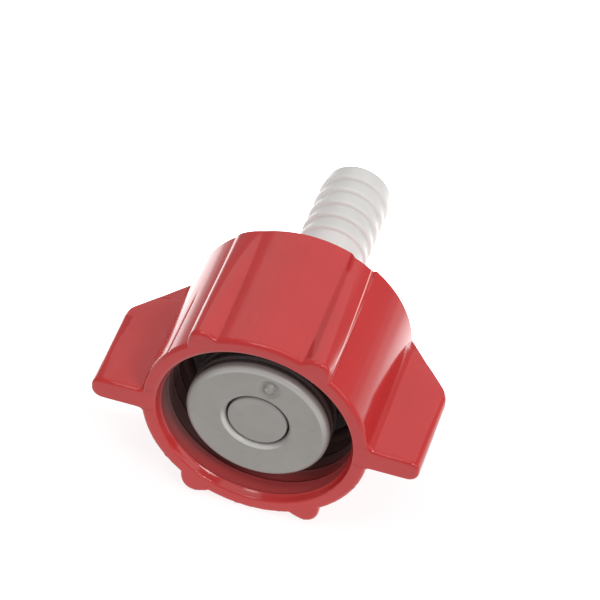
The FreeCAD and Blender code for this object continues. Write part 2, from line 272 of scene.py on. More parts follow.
def rounded_outline(corners, arc_steps=5, closed=True):
    """Outline through corners (radius, y) or (radius, y, rounding), each rounding a tangent arc."""
    corner = np.array([(c[0], c[1]) for c in corners], float)
    rounding = np.array([c[2] if len(c) > 2 else 0.0 for c in corners])
    to_last = np.roll(corner, 1, 0) - corner
    to_next = np.roll(corner, -1, 0) - corner
    to_last /= np.linalg.norm(to_last, axis=1, keepdims=True)
    to_next /= np.linalg.norm(to_next, axis=1, keepdims=True)
    outline = []
    for i in range(len(corner)):
        if rounding[i] == 0.0 or (not closed and i in (0, len(corner) - 1)):
            outline.append(corner[i:i + 1])
            continue
        half = math.acos(np.clip(np.dot(to_last[i], to_next[i]), -1, 1)) / 2
        middle = to_last[i] + to_next[i]
        middle /= np.linalg.norm(middle)
        centre = corner[i] + middle * rounding[i] / math.sin(half)
        reach = rounding[i] / math.tan(half)
        start = corner[i] + to_last[i] * reach - centre
        end = corner[i] + to_next[i] * reach - centre
        turn = math.pi - 2 * half
        share = np.linspace(0, 1, arc_steps + 1)[:, None]
        arc = (np.sin((1 - share) * turn) * start + np.sin(share * turn) * end) / math.sin(turn)
        outline.append(centre + arc)
    return np.concatenate(outline)


def divided(outline, step, closed=True):
    """Outline with points added so that no stretch is longer than step."""
    after = np.roll(outline, -1, 0)
    length = np.linalg.norm(after - outline, axis=1)
    parts = np.maximum(np.ceil(length / step).astype(int), 1)
    if not closed:
        parts[-1] = 1
    owner = np.repeat(np.arange(len(outline)), parts)
    place = np.arange(len(owner)) - np.repeat(np.cumsum(parts) - parts, parts)
    share = (place / parts[owner])[:, None]
    return outline[owner] * (1 - share) + after[owner] * share


def smooth_step(value):
    """0 below 0, 1 above 1 and an easy S between."""
    t = np.clip(value, 0, 1)
    return t * t * (3 - 2 * t)


# ---------------------------------------------------------------- wing nut

def wing_tip(y):
    """Tip of the wing along X: a straight tip edge, rounded into the front and into the back slope."""
    slope = (WING_TIP_X - WING_BACK_X) / (WING_BACK_Y - WING_SHOULDER_Y)
    turn = math.atan(slope)
    reach = WING_SHOULDER * math.tan(turn / 2)
    arc_start = WING_SHOULDER_Y - reach
    arc_end = WING_SHOULDER_Y + reach * math.cos(turn)
    along = np.clip(y - arc_start, 0, WING_SHOULDER)
    arc = WING_TIP_X - WING_SHOULDER + np.sqrt(WING_SHOULDER ** 2 - along ** 2)
    line = WING_TIP_X - (y - WING_SHOULDER_Y) * slope
    into_front = np.clip(WING_CORNER - y, 0, WING_CORNER)
    front = WING_TIP_X - WING_CORNER + np.sqrt(WING_CORNER ** 2 - into_front ** 2)
    return np.where(y < arc_start, front, np.where(y < arc_end, arc, line))


def wing_radius(fold, right, upper, y, inset, body):
    """Radius at which a ray at this angle from the wings' plane leaves the wing or its root hollow.

    The wing's section is a plate with rounded corners; the ray leaves it through the tip face, the
    corner arc or the flat side. Near the body a hollow arc, tangent to the flat side and to the
    round body, takes over.
    """
    half = np.where(upper, WING_UP, WING_DOWN) - WING_DRAFT * y - inset
    tip = wing_tip(y) - inset
    slanted = smooth_step((y - WING_SHOULDER_Y + SLANT_LEAD) / SLANT_RUN)
    corner = WING_TIP_ROUNDING + (WING_SLOPE_ROUNDING - WING_TIP_ROUNDING) * slanted - inset
    corner = np.clip(corner, 0.05, half)
    arc_x = tip - corner
    arc_z = half - corner
    cosine = np.cos(fold)
    sine = np.maximum(np.sin(fold), 1e-6)
    through_tip = tip / cosine
    through_side = half / sine
    along = arc_x * cosine + arc_z * sine
    inside = np.maximum(along ** 2 - arc_x ** 2 - arc_z ** 2 + corner ** 2, 0)
    through_arc = along + np.sqrt(inside)
    plate = np.where(through_side * cosine <= arc_x, through_side, through_arc)
    plate = np.where(through_tip * sine <= arc_z, through_tip, plate)
    hollow = np.where(upper, np.where(right, ROOT_UPPER_RIGHT, ROOT_UPPER_LEFT), ROOT_LOWER)
    room = ROOT_ROOM * (arc_x ** 2 - body ** 2 + half ** 2) / (2 * (body - half))
    hollow = np.clip(np.minimum(hollow, room), 0.02, None)
    hollow_z = half + hollow
    hollow_x = np.sqrt((body + hollow) ** 2 - hollow_z ** 2)
    along = hollow_x * cosine + hollow_z * sine
    inside = np.maximum(along ** 2 - hollow_x ** 2 - hollow_z ** 2 + hollow ** 2, 0)
    through_hollow = along - np.sqrt(inside)
    first = np.arctan2(half, hollow_x)
    last = np.arctan2(hollow_z, hollow_x)
    radius = np.where(fold < first, plate, through_hollow)
    radius = np.where(fold > last, body, radius)
    return np.where(arc_x < hollow_x - 1e-3, np.maximum(plate * (fold < last), body), radius)


def rib_lines(side, narrow):
    """Crest and half widths (degrees) of a side's ribs, narrow running from 0 at the mouth to 1."""
    back_crest, back_outer, back_inner = RIB_BACK[side][1:]
    crest = RIB_ANGLE + (back_crest - RIB_ANGLE) * narrow
    outer = RIB_SPREAD + (back_crest - back_outer - RIB_SPREAD) * narrow
    inner = RIB_SPREAD + (back_inner - back_crest - RIB_SPREAD) * narrow
    return crest, outer, inner


def rib_rise(across, y, side):
    """Height of a rib over the body: a cosine arch, eased into the body at its feet.

    across runs from -1 at the outer foot over 0 on the crest to 1 at the inner foot. Where the
    crest line lies under the body the rib is a flat shallow recess.
    """
    back_height = RIB_BACK[side][0]
    height = RIB_HEIGHT + (back_height - RIB_HEIGHT) * y / NUT_LENGTH
    standing = np.maximum(height, 0)
    off = np.abs(across)
    outer = RIB_SHARPNESS + (OUTER_SHARPNESS[side] - RIB_SHARPNESS) * smooth_step(y / OUTER_CHANGE)
    sharpness = np.where(across < 0, outer, RIB_SHARPNESS)
    raised = np.cos(np.pi / 2 * np.clip(off, 0, 1)) ** sharpness
    arch = np.where(off < 1, raised, FOOT_FALL * (1 - off)) * standing
    ease = np.where(across < 0, *FOOT_BLEND) * np.sqrt(standing / RIB_HEIGHT)
    rise = (arch + np.sqrt(arch ** 2 + ease ** 2)) / 2
    edge = np.where(across < 0, *RECESS_EDGE)
    recess = smooth_step((1 - off) / edge) * np.minimum(height, 0)
    return rise + recess


def seam(angle, y):
    """A fine groove along the nut's left side, from the rim to just past the middle."""
    middle = np.pi - np.radians(SEAM_ANGLE)
    off = (angle - middle) * NUT_R / SEAM_WIDTH
    begun = smooth_step((y - SEAM_START) / SEAM_FADES[0])
    left = smooth_step((SEAM_END - y) / SEAM_FADES[1])
    return -SEAM_DEPTH * np.exp(-off ** 2) * (begun * left)


def rim_flash(angle, y):
    """Small moulding nicks and flash left on the outer edge of the rim, most of them low down."""
    random = np.random.default_rng(FLASH_SEED)
    centres = random.uniform(*np.radians(FLASH_ANGLES), FLASH_COUNT)
    widths = np.radians(random.uniform(*FLASH_WIDTHS, FLASH_COUNT))
    heights = random.uniform(*FLASH_HEIGHTS, FLASH_COUNT)
    bumps = np.zeros_like(angle)
    for centre, width, height in zip(centres, widths, heights):
        bumps += height * np.exp(-((angle - centre) / width) ** 2)
    return bumps * np.exp(-(y / FLASH_DEPTH) ** 2)


def nut_angles():
    """Angles round the nut from the wing's middle plane to just before the rib, in radians.

    Zones: round the wing tip, along the wing's flat side, across the root hollow and over the body.
    """
    tip_centre = WING_TIP_X - WING_TIP_ROUNDING
    turn = np.radians(np.arange(0, 90, 11.25))
    tip = np.arctan2(WING_DOWN * np.sin(turn), tip_centre + WING_TIP_ROUNDING * np.cos(turn))
    side_x = stepped((tip_centre, 0), (16.6, 13))
    side = np.arctan2(WING_DOWN, side_x)
    root = np.radians(stepped((6.9, 0), (11.0, 16)))
    body = np.radians(stepped((11.9, 0), (36.8, 28), (40.4, 16), (47.6, 8)))
    return np.concatenate([tip, side, root, body])


def rib_angles(side, narrow):
    """Angles over the rib and on to the top of the nut: rows of angles, one column a station.

    The rows keep to the rib's feet and crest as these shift towards the back.
    """
    crest, outer, inner = rib_lines(side, narrow)
    across = stepped((-1.14, 0), (-0.84, 12), (0, 14), (0.86, 14), (1.16, 8))[:, None]
    rib = crest + across * np.where(across < 0, outer, inner)
    far = rib[-1] + (90.0 - rib[-1]) * stepped((1 / 22, 0), (1, 21))[:, None]
    return np.radians(np.concatenate([rib, far])), across


def nut_stations():
    """Stations of the section that runs round the nut's wall.

    Each has a depth y, an inset of the outside, a share that is 1 on the outside and 0 on the
    inside, an inside radius, and how far the ribs have shifted (0 mouth, 1 back).
    """
    quarter = np.radians(stepped((90, 0), (0, 3)))
    back_y = NUT_LENGTH - BACK_ROUNDING * (1 - np.sin(quarter))
    back_inset = BACK_ROUNDING * (1 - np.cos(quarter))
    slope_y = stepped((22.35, 0), (13.1, 18))
    side_y = stepped((12.4, 0), (1.9, 6), (RIM_ROUNDING + 0.1, 3))
    rim = np.radians(stepped((0, 0), (90, 8)))
    rim_y = RIM_ROUNDING * (1 - np.sin(rim))
    rim_inset = RIM_ROUNDING * (1 - np.cos(rim))
    out_y = np.concatenate([back_y, slope_y, side_y, rim_y])
    out_inset = np.concatenate([back_inset, np.zeros(len(slope_y) + len(side_y)), rim_inset])
    face_share = stepped((0.8, 0), (0.0, 4))
    lip = np.radians(stepped((12, 0), (MOUTH_TURN, 4)))
    lip_y = MOUTH_ROUNDING * (1 - np.cos(lip))
    lip_r = MOUTH_R - MOUTH_ROUNDING * np.sin(lip)
    bore_y = stepped((0.3, 0), (CONE_END - 0.1, 3), (CONE_END + 0.4, 8), (6.0, 40),
                     (THREAD_END, 18), (15.0, 3), (BACK_WALL_FRONT, 3))
    wall_r = stepped((12.5, 0), (BACK_HOLE_R, 3))
    hole_y = stepped((20.5, 0), (NUT_LENGTH - HOLE_CHAMFER, 2))
    hole_turn = np.radians(stepped((0, 0), (90, 3)))
    chamfer_y = NUT_LENGTH - HOLE_CHAMFER * (1 - np.sin(hole_turn))
    chamfer_r = BACK_HOLE_R + HOLE_CHAMFER * (1 - np.cos(hole_turn))
    plate_share = stepped((0.15, 0), (0.95, 5))
    parts = [
        (out_y, out_inset, 1.0, MOUTH_R),
        (0.0, RIM_ROUNDING, face_share, MOUTH_R),
        (lip_y, RIM_ROUNDING, 0.0, lip_r),
        (bore_y, 0.0, 0.0, np.nan),
        (BACK_WALL_FRONT, 0.0, 0.0, wall_r),
        (hole_y, 0.0, 0.0, BACK_HOLE_R),
        (chamfer_y, 0.0, 0.0, chamfer_r),
        (NUT_LENGTH, BACK_ROUNDING, plate_share, BACK_HOLE_R + HOLE_CHAMFER),
    ]
    rows = [np.stack(np.broadcast_arrays(*map(np.atleast_1d, part))) for part in parts]
    y, inset, share, inner = np.concatenate(rows, 1)
    narrow = np.where(share > 0, y / NUT_LENGTH, 0.0)
    deep = np.cumsum(share == 0) > len(lip_y) + len(bore_y)
    narrow = np.where(deep, 1.0, narrow)
    return y, inset, share, inner, narrow


def threaded_bore(angle, y):
    """Inside radius: lead-in cone with a fine lip, threaded stretch with a right-hand ridge, bore.

    Over each pitch the ridge climbs slowly to a rounded crest and drops steeply behind it; its
    depth, y less the distance run from the last root, makes it fade in and out at its ends.
    Fine beads, bell curves across their width, run along the crest and on the cone's end.
    """
    turn = y / THREAD_PITCH + angle / (2 * np.pi) - THREAD_TURN
    share = turn - np.floor(turn)
    depth = y - (share - THREAD_CREST_SHARE) * THREAD_PITCH
    climb = share / THREAD_CREST_SHARE
    drop = (1 - share) / (1 - THREAD_CREST_SHARE)
    lesser = np.exp(-THREAD_SHARPNESS * climb) + np.exp(-THREAD_SHARPNESS * drop)
    top = np.maximum(-np.log(lesser) / THREAD_SHARPNESS, 0)
    fade = smooth_step((depth - THREAD_FIRST + THREAD_FADE) / (2 * THREAD_FADE))
    fade = fade * smooth_step((THREAD_LAST + THREAD_FADE - depth) / (2 * THREAD_FADE))
    cone_start_r = MOUTH_R - MOUTH_ROUNDING * math.sin(math.radians(MOUTH_TURN))
    root = np.interp(y, [MOUTH_ROUNDING / 2, CONE_END, CONE_END + CONE_LIP[0],
                         CONE_END + CONE_LIP[1], THREAD_END - THREAD_RUNOUT, THREAD_END],
                     [cone_start_r, CONE_END_R, CONE_END_R,
                      THREAD_ROOT_R, THREAD_ROOT_R, BORE_R])
    ridge = np.maximum(root - THREAD_CREST_R, 0) * top * fade
    off_crest = (share - THREAD_CREST_SHARE + CREST_BEAD_LEAD) / CREST_BEAD_WIDTH
    bead = CREST_BEAD * np.exp(-off_crest ** 2) * fade
    lip = CONE_BEAD * np.exp(-((y - CONE_END) / CONE_BEAD_WIDTH) ** 2)
    return root - ridge - bead - lip


def nut_quarter(side, upper, stations):
    """Angles from the wing's plane and outside radius for one quarter: arrays (angle, station)."""
    y, inset, _, _, narrow = stations
    body = NUT_R - NUT_DRAFT * y - inset
    start = np.repeat(nut_angles()[:, None], len(y), 1)
    over_rib, across = rib_angles(side, narrow)
    wings = wing_radius(start, side == "right", upper, y, WING_EDGE * inset, body)
    far = np.linspace(1.2, 3.0, len(over_rib) - len(across))[:, None]
    ribs = body + rib_rise(np.concatenate([across, far]), y, side)
    return np.concatenate([start, over_rib]), np.concatenate([wings, ribs])


def wing_nut():
    """The nut in one closed surface: every station of the wall's section at every angle round it."""
    stations = nut_stations()
    y, _, share, inner, _ = stations
    angles = []
    outsides = []
    for side, upper, start, sign in (("right", True, 0, 1), ("left", True, 1, -1),
                                     ("left", False, 1, 1), ("right", False, 2, -1)):
        fold, outside = nut_quarter(side, upper, stations)
        if sign < 0:
            fold = fold[::-1]
            outside = outside[::-1]
        angles.append((start * np.pi + sign * fold)[:-1])
        outsides.append(outside[:-1])
    angle = np.concatenate(angles)
    outside = np.concatenate(outsides) + rim_flash(angle, y) + seam(angle, y)
    bore = threaded_bore(angle, y)
    inside = np.where(np.isnan(inner), bore, np.nan_to_num(inner))
    radius = inside + (outside - inside) * share
    points = np.stack([radius * np.cos(angle), np.broadcast_to(y, radius.shape),
                       radius * np.sin(angle)], -1)
    return keep_edges(closed_grid("red_wing_nut", points), degrees=38)


# ---------------------------------------------------------------- hose tail

TAIL_BORE_R = 3.3
TAIL_END = tail_high[1]
FLANGE_R = 12.9
FLANGE_BACK = 18.4
JOURNAL_R = 7.12
RIDGE_R = 7.55
RIDGE_FRONT = NUT_LENGTH + 0.15
NECK_R = 4.85
TIP_R = 4.85
BARB_R = 5.24
BARB_ROOT_R = 4.7
BARB_PITCH = 2.715
BARB_COUNT = 5
LAST_BARB_Y = 46.8
BARB_FOOT = 0.2  # the barb's front starts this far before its crest
BARB_FACE = 0.05  # and reaches its full radius this far before it
BARB_LAND = 0.5  # the crest stays nearly flat this far behind
SOCKET_R = 8.5  # the hole in the flange that takes the core
SOCKET_END = 16.6
FLANGE_ROUNDING = 0.3
TIP_ROUNDING = 0.6
BORE_ROUNDING = 0.35


def hose_tail():
    """Flange, journal, snap ridge, neck and barbs turned in one, with softened crests."""
    flange_front = tail_low[1]
    corners = [
        (TAIL_BORE_R, SOCKET_END),
        (SOCKET_R, SOCKET_END),
        (SOCKET_R, flange_front),
        (FLANGE_R, flange_front, FLANGE_ROUNDING),
        (FLANGE_R, FLANGE_BACK, FLANGE_ROUNDING),
        (JOURNAL_R, FLANGE_BACK),
        (JOURNAL_R, RIDGE_FRONT),
        (RIDGE_R, RIDGE_FRONT, 0.1),
        (RIDGE_R - 0.9, NUT_LENGTH + 1.7, 0.3),
        (NECK_R, NUT_LENGTH + 2.6, 1.2),
    ]
    for i in range(BARB_COUNT):
        crest = LAST_BARB_Y - (BARB_COUNT - 1 - i) * BARB_PITCH
        root = NECK_R if i == 0 else BARB_ROOT_R
        corners += [(root, crest - BARB_FOOT, 0.06), (BARB_R, crest - BARB_FACE, 0.3),
                    (BARB_R - 0.01, crest + BARB_LAND, 0.25)]
    corners += [(TIP_R, TAIL_END, TIP_ROUNDING), (TAIL_BORE_R, TAIL_END, BORE_ROUNDING)]
    outline = divided(rounded_outline(corners), 0.6)
    return keep_edges(turned_ring("grey_hose_tail", outline, 220), degrees=40)


# ---------------------------------------------------------------- disc, button and rubber

DISC_FRONT = cap_low[1]
DISC_R = cap_high[0]
DISC_BACK = 3.1
DISC_EDGE_BACK = 2.4  # the rubber reaches round the disc's edge up to here
DISC_SEAT_R = 9.8
DISC_ROUNDING = 0.9
BUTTON_HOLE_R = 4.5
HOLE_ROUNDING = 0.85
TUBE_R = 7.6  # tube behind the disc
TUBE_BORE_R = 6.6
TUBE_END = 8.0
GATE_R = 7.15
GATE_ANGLE = math.radians(78.5)
DIMPLE = (0.24, 1.8, 0.5)  # depth, radius and width of its edge
MOAT = (0.22, 0.95, 0.2)  # depth, radius and half width of the groove round the nub
NUB = (0.42, 0.8, 0.3)  # height, radius and width of its edge
CRATER = (0.12, 0.25)  # depth and half width
BUTTON_R = 4.25
BUTTON_ROUNDING = 0.22
DISH_DEPTH = 0.12
SHOULDER_R = 6.1
SHOULDER_FRONT = 4.5
SHOULDER_BACK = 5.7
STEM_R = 1.5
STEM_END = 16.2
BOOT_R = 9.9
BOOT_BORE_R = 9.1
BEAD_R = 10.2
BEAD_MIDDLES = (3.75, 5.55)
BEAD_FOOT = 0.5  # half length of a bead at its foot and on its top
BEAD_TOP = 0.2


def gate_mark(points):
    """Sinks the dimple and raises the gate's nub on the disc's front face.

    Depth is a smooth bowl of the distance from the mark's centre, with a bell-shaped groove in
    it, and the nub a small flat-topped hill with a shallow crater.
    """
    x, y, z = np.moveaxis(points, -1, 0)
    off = np.hypot(x - GATE_R * math.cos(GATE_ANGLE), z - GATE_R * math.sin(GATE_ANGLE))
    bowl = DIMPLE[0] * smooth_step((DIMPLE[1] - off) / DIMPLE[2])
    moat = MOAT[0] * np.exp(-((off - MOAT[1]) / MOAT[2]) ** 2)
    nub = NUB[0] * smooth_step((NUB[1] - off) / NUB[2]) - CRATER[0] * np.exp(-(off / CRATER[1]) ** 2)
    front = (y < DISC_FRONT + 0.05) & (np.hypot(x, z) < DISC_R - 0.95)
    moved = points.copy()
    moved[..., 1] = y + np.where(front, bowl + moat - nub, 0)
    return moved


def face_cap():
    """Front disc: flat face, soft shoulder, rounded lip round the button's hole, and its tube."""
    corners = [
        (BUTTON_HOLE_R, DISC_FRONT, HOLE_ROUNDING),
        (DISC_R, DISC_FRONT, DISC_ROUNDING),
        (DISC_R, DISC_EDGE_BACK, 0.12),
        (DISC_SEAT_R, DISC_EDGE_BACK),
        (DISC_SEAT_R, DISC_BACK),
        (TUBE_R, DISC_BACK),
        (TUBE_R, TUBE_END, 0.2),
        (TUBE_BORE_R, TUBE_END, 0.2),
        (TUBE_BORE_R, DISC_BACK),
        (BUTTON_HOLE_R, DISC_BACK, 0.2),
    ]
    outline = divided(rounded_outline(corners, 9), 0.13)
    return keep_edges(turned_ring("grey_face_disc", outline, 360, gate_mark), degrees=40)


def poppet():
    """Button with a shallow dished middle and rounded edge, its shoulder and its guided stem."""
    front = poppet_low[1]
    corners = [
        (0.0, front + DISH_DEPTH),
        (BUTTON_R - 1.4, front + DISH_DEPTH, 3.0),
        (BUTTON_R - 0.45, front, 0.5),
        (BUTTON_R, front, BUTTON_ROUNDING),
        (BUTTON_R, SHOULDER_FRONT),
        (SHOULDER_R, SHOULDER_FRONT, 0.2),
        (SHOULDER_R, SHOULDER_BACK, 0.2),
        (STEM_R, SHOULDER_BACK, 0.4),
        (STEM_R, STEM_END, 0.5),
        (0.0, STEM_END),
    ]
    outline = divided(rounded_outline(corners, 5, closed=False), 0.35, closed=False)
    return keep_edges(turned_solid("grey_button", outline, 180), degrees=40)


def seal_boot():
    """Rubber sleeve with a lip that grips the disc's edge and two smooth rounded beads behind it."""
    corners = [
        (BOOT_BORE_R, DISC_BACK + 0.02),
        (DISC_SEAT_R + 0.03, DISC_BACK + 0.02),
        (DISC_SEAT_R + 0.03, DISC_EDGE_BACK + 0.04),
        (10.14, DISC_EDGE_BACK + 0.04, 0.1),
        (10.12, DISC_BACK - 0.15, 0.1),
        (9.85, DISC_BACK + 0.02, 0.1),
    ]
    for middle in BEAD_MIDDLES:
        corners += [(BOOT_R, middle - BEAD_FOOT, 0.12), (BEAD_R, middle - BEAD_TOP, 0.16),
                    (BEAD_R, middle + BEAD_TOP, 0.16), (BOOT_R, middle + BEAD_FOOT, 0.12)]
    corners += [(BOOT_R, boot_high[1]), (BOOT_BORE_R, boot_high[1])]
    outline = divided(rounded_outline(corners), 0.5)
    return keep_edges(turned_ring("black_seal_boot", outline, 240), degrees=40)


# ---------------------------------------------------------------- return spring

SPRING_R = 3.3
SPRING_WIRE_R = 0.3
SPRING_TURNS = 5
STEPS_PER_TURN = 72
WIRE_FACETS = 16
POPPET_TRAVEL = 3.5


def return_spring():
    """Round wire wound on a cylinder, with closed ends and open middle turns.

    The turns are spaced so that they lie evenly when the button is fully pressed: a point at
    share s of the length then moves by the travel times 1 - s * s * (3 - 2 * s).
    """
    along = np.linspace(spring_low[1], spring_high[1], 500)
    pressed = along + POPPET_TRAVEL * (1 - smooth_step((along - along[0]) / (along[-1] - along[0])))
    first, last = along[0] + SPRING_WIRE_R, along[-1] - SPRING_WIRE_R
    ends = np.interp([first, last], along, pressed)
    count = STEPS_PER_TURN * SPRING_TURNS + 1
    y = np.interp(np.linspace(ends[0], ends[1], count), pressed, along)
    turn = np.linspace(0, 2 * np.pi * SPRING_TURNS, count)
    out = np.stack([np.cos(turn), np.zeros(count), -np.sin(turn)], -1)
    centre = out * SPRING_R
    centre[:, 1] = y
    heading = np.gradient(centre, axis=0)
    heading /= np.linalg.norm(heading, axis=1, keepdims=True)
    across = np.cross(heading, out)
    around = (np.arange(WIRE_FACETS) * 2 * np.pi / WIRE_FACETS)[:, None, None]
    surface = centre + SPRING_WIRE_R * (np.cos(around) * out + np.sin(around) * across)
    return keep_edges(capped_tube("steel_return_spring", surface, centre[[0, -1]]), degrees=50)


# ---------------------------------------------------------------- finishes

TONE_SPAN = (0.3, 0.7)  # these stretches of the noises become masks from 0 to 1
SCRATCH_SPAN = (0.68, 0.76)
GAP_SPAN = (0.5, 0.62)
SCUFF_SPAN = (0.55, 0.75)
STREAK_STRETCH = 0.07  # scale along the streaks and along the scratches
SCRATCH_STRETCH = 0.03
SCRATCH_TURNS = ((0.3, 0.2, 0.9), (0.9, 0.5, -0.4))  # directions of the scratches, in radians
SCRATCH_GAP = 3.84615  # size in mm of the patches that are free of scratches
SCRATCH_DEPTH = 0.02  # in mm, where the marks are full
STREAK_SHARE = 0.35  # of the streaks in the tone; the patches have the rest
BORE_LEAN = {"X": -0.12, "Z": 0.15}  # slope of the leaning plane along each axis
BORE_R_FADE = (0.0146, 0.0143)  # radii and depths in metres: the painted bore shade and the painted light lines are gone at the first and full at the second
BORE_BACK_FADE = (0.021, 0.020)  # drawn lines are gone at the first and full at the second
LINE_FRONT_FADE = (0.0006, 0.0012)
LINE_BACK_FADE = (0.02265, 0.0225)
LINE_R_FADE = (0.0148, 0.0151)
LINE_SIDE_FADE = (1.2, 0.4)  # in half widths
RING_SOFTNESS = 0.12  # in mm
SIDE_FADE = (0.1, 0.75)  # cosine of the angle off the lit side of a painted highlight ring


def new_group(name, values, masks):
    """Empty node group that takes coordinates and named numbers or vectors and makes named masks.

    Returns the group, the sockets it is given and the sockets it fills.
    """
    tree = bpy.data.node_groups.new(name, "ShaderNodeTree")
    tree.interface.new_socket("Coordinates", in_out="INPUT", socket_type="NodeSocketVector")
    for label, value in values.items():
        kind = "NodeSocketVector" if isinstance(value, tuple) else "NodeSocketFloat"
        tree.interface.new_socket(label, in_out="INPUT", socket_type=kind).default_value = value
    for label in masks:
        tree.interface.new_socket(label, in_out="OUTPUT", socket_type="NodeSocketFloat")
    return tree, tree.nodes.new("NodeGroupInput").outputs, tree.nodes.new("NodeGroupOutput").inputs


def feed(tree, socket, value):
    """Link a socket to an output, or set it to a plain value."""
    if isinstance(value, bpy.types.NodeSocket):
        tree.links.new(value, socket)
    else:
        socket.default_value = value


def math_node(tree, operation, *values):
    """Math node fed by sockets or plain numbers; returns its output."""
    node = tree.nodes.new("ShaderNodeMath")
    node.operation = operation
    for socket, value in zip(node.inputs, values):
        feed(tree, socket, value)
    return node.outputs[0]


def vector_node(tree, operation, *values):
    """Vector math node fed by sockets or plain vectors; returns its outputs."""
    node = tree.nodes.new("ShaderNodeVectorMath")
    node.operation = operation
    for socket, value in zip(node.inputs, values):
        feed(tree, socket, value)
    return node.outputs


def group_node(tree, group, place, values):
    """Node of a group, fed with the coordinates and with these values by name; returns its outputs."""
    node = tree.nodes.new("ShaderNodeGroup")
    node.node_tree = group
    tree.links.new(place, node.inputs["Coordinates"])
    for label, value in values.items():
        node.inputs[label].default_value = value
    return node.outputs


def noise_node(tree, vector, size, detail, roughness):
    """Noise of a size in millimetres, which is a socket or a number; returns its value output."""
    node = tree.nodes.new("ShaderNodeTexNoise")
    tree.links.new(vector, node.inputs["Vector"])
    tree.links.new(math_node(tree, "DIVIDE", PER_METRE, size), node.inputs["Scale"])
    node.inputs["Detail"].default_value = detail
    node.inputs["Roughness"].default_value = roughness
    return node.outputs[0]


def mapped(tree, vector, scale, turn=(0, 0, 0), shift=(0, 0, 0)):
    """Coordinates scaled, turned and shifted; a small scale draws a pattern out along its axis."""
    node = tree.nodes.new("ShaderNodeMapping")
    tree.links.new(vector, node.inputs["Vector"])
    for label, value in (("Scale", scale), ("Rotation", turn), ("Location", shift)):
        node.inputs[label].default_value = value
    return node.outputs[0]


def between(tree, value, low, high):
    """Value eased from 0 at low to 1 at high and held beyond them; returns the output."""
    node = tree.nodes.new("ShaderNodeMapRange")
    node.interpolation_type = "SMOOTHSTEP"
    tree.links.new(value, node.inputs["Value"])
    node.inputs["From Min"].default_value = low
    node.inputs["From Max"].default_value = high
    return node.outputs[0]


def moulded_skin_group():
    """Slow colour patches, flow streaks along the axis and a fine orange peel, each 0 to 1."""
    tree, given, made = new_group(
        "moulded_skin", {"Patch Size mm": 8.0, "Streak Width mm": 1.2, "Peel Size mm": 0.5},
        ("Patch", "Streak", "Peel"))
    place = given["Coordinates"]
    along = mapped(tree, place, (1, STREAK_STRETCH, 1))
    patch = noise_node(tree, place, given["Patch Size mm"], 2.0, 0.5)
    streak = noise_node(tree, along, given["Streak Width mm"], 2.0, 0.55)
    peel = noise_node(tree, place, given["Peel Size mm"], 3.0, 0.6)
    tree.links.new(between(tree, patch, *TONE_SPAN), made["Patch"])
    tree.links.new(between(tree, streak, *TONE_SPAN), made["Streak"])
    tree.links.new(peel, made["Peel"])
    return tree


def handling_marks_group():
    """Thin scratches in two directions and small scuffs, as masks from 0 to 1."""
    tree, given, made = new_group(
        "handling_marks", {"Scratch Width mm": 0.12, "Scuff Size mm": 1.5}, ("Scratches", "Scuffs"))
    place = given["Coordinates"]
    found = []
    for turn in SCRATCH_TURNS:
        along = mapped(tree, place, (1, SCRATCH_STRETCH, 1), turn)
        lines = noise_node(tree, along, given["Scratch Width mm"], 1.0, 0.4)
        found.append(between(tree, lines, *SCRATCH_SPAN))
    either = math_node(tree, "MAXIMUM", found[0], found[1])
    gaps = noise_node(tree, place, SCRATCH_GAP, 1.0, 0.5)
    scratches = product(tree, either, between(tree, gaps, *GAP_SPAN))
    scuffs = noise_node(tree, place, given["Scuff Size mm"], 4.0, 0.65)
    tree.links.new(scratches, made["Scratches"])
    tree.links.new(between(tree, scuffs, *SCUFF_SPAN), made["Scuffs"])
    return tree


def split_up(tree, place):
    """Outputs X, Y and Z of the coordinates."""
    node = tree.nodes.new("ShaderNodeSeparateXYZ")
    tree.links.new(place, node.inputs[0])
    return node.outputs


def product(tree, *masks):
    """Masks multiplied together; returns the output."""
    whole = masks[0]
    for mask in masks[1:]:
        whole = math_node(tree, "MULTIPLY", whole, mask)
    return whole


def off_axis(tree, place):
    """Outputs of the coordinates without their Y and of their distance from the Y axis, in metres."""
    flat = vector_node(tree, "MULTIPLY", place, (1, 0, 1))[0]
    return flat, vector_node(tree, "LENGTH", flat)["Value"]


def painted_bore_shade_group():
    """Mask of painted shade in the nut's bore: 0 at the mouth, rising from one depth to another, 0 on
    the back plate.

    The depth can be taken from a leaning plane: with Lean 1 the shade sets in deeper low down
    and on the right.
    """
    tree, given, made = new_group(
        "painted_bore_shade", {"Start mm": 1.0, "Full mm": 5.2, "Lean": 1.0}, ("Mask",))
    place = given["Coordinates"]
    radius = off_axis(tree, place)[1]
    split = split_up(tree, place)
    slope = math_node(tree, "ADD", math_node(tree, "MULTIPLY", split["Z"], BORE_LEAN["Z"]),
                      math_node(tree, "MULTIPLY", split["X"], BORE_LEAN["X"]))
    slope = math_node(tree, "MULTIPLY", slope, given["Lean"])
    leaning = math_node(tree, "MULTIPLY", math_node(tree, "ADD", split["Y"], slope), PER_METRE)
    run = math_node(tree, "SUBTRACT", given["Full mm"], given["Start mm"])
    past = math_node(tree, "SUBTRACT", leaning, given["Start mm"])
    risen = between(tree, math_node(tree, "DIVIDE", past, run), 0.0, 1.0)
    mask = product(tree, risen, between(tree, split["Y"], *BORE_BACK_FADE),
                   between(tree, radius, *BORE_R_FADE))
    tree.links.new(mask, made["Mask"])
    return tree


